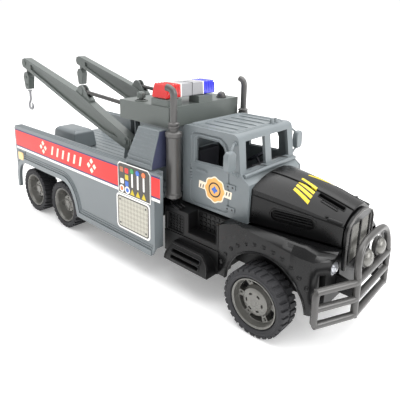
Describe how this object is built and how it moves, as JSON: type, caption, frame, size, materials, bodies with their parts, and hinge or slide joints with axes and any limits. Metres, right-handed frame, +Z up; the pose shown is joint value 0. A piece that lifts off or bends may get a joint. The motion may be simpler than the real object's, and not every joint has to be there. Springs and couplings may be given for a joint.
{
  "type": "toy tow truck",
  "caption": "Toy wrecker truck with louvred bonnet, high-sided bed, mast with light bar, two hinged booms with swinging hooks, stay rods and rolling wheels.",
  "frame": {"origin": "centre of the overall bounding box in plan, on the floor under the tyres", "axes": "+X towards the bonnet, +Y to the truck's left side, +Z up"},
  "size_m": [0.3674, 0.1168, 0.1514],
  "materials": {
    "body_grey": "satin light blue-grey moulding",
    "mast_grey": "satin greenish grey moulding",
    "gloss_black": "glossy black moulding",
    "silver_plastic": "metallic grey pigmented plastic",
    "stack_grey": "dark metallic grey pigmented plastic",
    "hub_silver": "warm silver pigmented plastic",
    "tyre": "soft black vinyl with block tread",
    "red_clear": "translucent red moulding",
    "blue_clear": "translucent blue moulding",
    "interior_black": "plain black moulding",
    "gear_nylon": "natural nylon",
    "steel": "bare turned steel"
  },
  "bodies": {
    "chassis": {"chassis_frame": "gloss_black", "bed_deck": "body_grey", "bed_side_right": "body_grey", "bed_side_left": "body_grey", "fairing_right": "body_grey", "fairing_left": "body_grey", "mast_pedestal": "body_grey", "deck_box": "body_grey", "mast_head": "mast_grey", "beacon_dome": "silver_plastic", "lens_red": "red_clear", "light_bar_housing": "silver_plastic", "lens_blue": "blue_clear", "boom_pivot_pin_right": "mast_grey", "boom_pivot_pin_left": "mast_grey", "exhaust_stack_right": "stack_grey", "exhaust_stack_left": "stack_grey", "cab_shell": "body_grey", "cab_seats": "interior_black", "dashboard": "interior_black", "steering_wheel": "interior_black", "mirror_right": "body_grey", "mirror_left": "body_grey", "hood": "gloss_black", "fender_right": "gloss_black", "fender_left": "gloss_black", "radiator_shell": "gloss_black", "nose_valance": "gloss_black", "headlamp_right": "hub_silver", "headlamp_left": "hub_silver", "bull_bar": "silver_plastic", "fog_lamp_right": "silver_plastic", "fog_lamp_left": "silver_plastic", "battery_box_right": "gloss_black", "battery_box_left": "gloss_black", "side_step_right": "gloss_black", "side_step_left": "gloss_black", "friction_motor_case": "gloss_black"},
    "front_wheels": {"wheelset_front": "hub_silver", "tyre_front_right": "tyre", "tyre_front_left": "tyre"},
    "mid_wheels": {"wheelset_mid": "hub_silver", "tyre_mid_right": "tyre", "tyre_mid_left": "tyre", "drive_gear": "gear_nylon"},
    "rear_wheels": {"wheelset_rear": "hub_silver", "tyre_rear_right": "tyre", "tyre_rear_left": "tyre"},
    "flywheel": {"flywheel": "steel"},
    "boom_right": {"boom_right": "mast_grey"},
    "boom_left": {"boom_left": "mast_grey"},
    "stay_right": {"stay_right": "silver_plastic"},
    "stay_left": {"stay_left": "silver_plastic"},
    "hook_right": {"hook_block_right": "mast_grey", "hook_right": "silver_plastic"},
    "hook_left": {"hook_block_left": "mast_grey", "hook_left": "silver_plastic"},
    "siren_button": {"siren_button": "mast_grey"}
  },
  "joints": [
    {"name": "front_axle_spin", "type": "hinge", "parent": "chassis", "child": "front_wheels", "pos_m": [0.131, 0, 0.022], "axis": [0, 1, 0], "continuous": true},
    {"name": "mid_axle_spin", "type": "hinge", "parent": "chassis", "child": "mid_wheels", "pos_m": [-0.084, 0, 0.022], "axis": [0, 1, 0], "continuous": true},
    {"name": "rear_axle_spin", "type": "hinge", "parent": "chassis", "child": "rear_wheels", "pos_m": [-0.139, 0, 0.022], "axis": [0, 1, 0], "continuous": true},
    {"name": "flywheel_spin", "type": "hinge", "parent": "chassis", "child": "flywheel", "pos_m": [-0.07025, 0, 0.022], "axis": [0, 1, 0], "continuous": true},
    {"name": "boom_lift_right", "type": "hinge", "parent": "chassis", "child": "boom_right", "pos_m": [-0.012, -0.032, 0.094], "axis": [0, 1, 0], "range_deg": [-8, 20]},
    {"name": "stay_turn_right", "type": "hinge", "parent": "boom_right", "child": "stay_right", "pos_m": [-0.0764, -0.032, 0.1277], "axis": [0, 1, 0], "range_deg": [-3, 3]},
    {"name": "hook_swing_right", "type": "hinge", "parent": "boom_right", "child": "hook_right", "pos_m": [-0.178, -0.032, 0.1463], "axis": [0, 1, 0], "range_deg": [-22, 75]},
    {"name": "boom_lift_left", "type": "hinge", "parent": "chassis", "child": "boom_left", "pos_m": [-0.012, 0.032, 0.094], "axis": [0, 1, 0], "range_deg": [-8, 20]},
    {"name": "stay_turn_left", "type": "hinge", "parent": "boom_left", "child": "stay_left", "pos_m": [-0.0764, 0.032, 0.1277], "axis": [0, 1, 0], "range_deg": [-3, 3]},
    {"name": "hook_swing_left", "type": "hinge", "parent": "boom_left", "child": "hook_left", "pos_m": [-0.178, 0.032, 0.1463], "axis": [0, 1, 0], "range_deg": [-22, 75]},
    {"name": "button_press", "type": "slide", "parent": "chassis", "child": "siren_button", "axis": [0, 0, -1], "range_m": [0, 0.0018], "stiffness_N_per_m": 200, "springref_m": -0.0005}
  ],
  "couplings": [
    {"joint": "flywheel_spin", "follows": "mid_axle_spin", "ratio": -3.25},
    {"joint": "stay_turn_right", "follows": "boom_lift_right", "ratio": 0.1},
    {"joint": "stay_turn_left", "follows": "boom_lift_left", "ratio": 0.1}
  ]
}
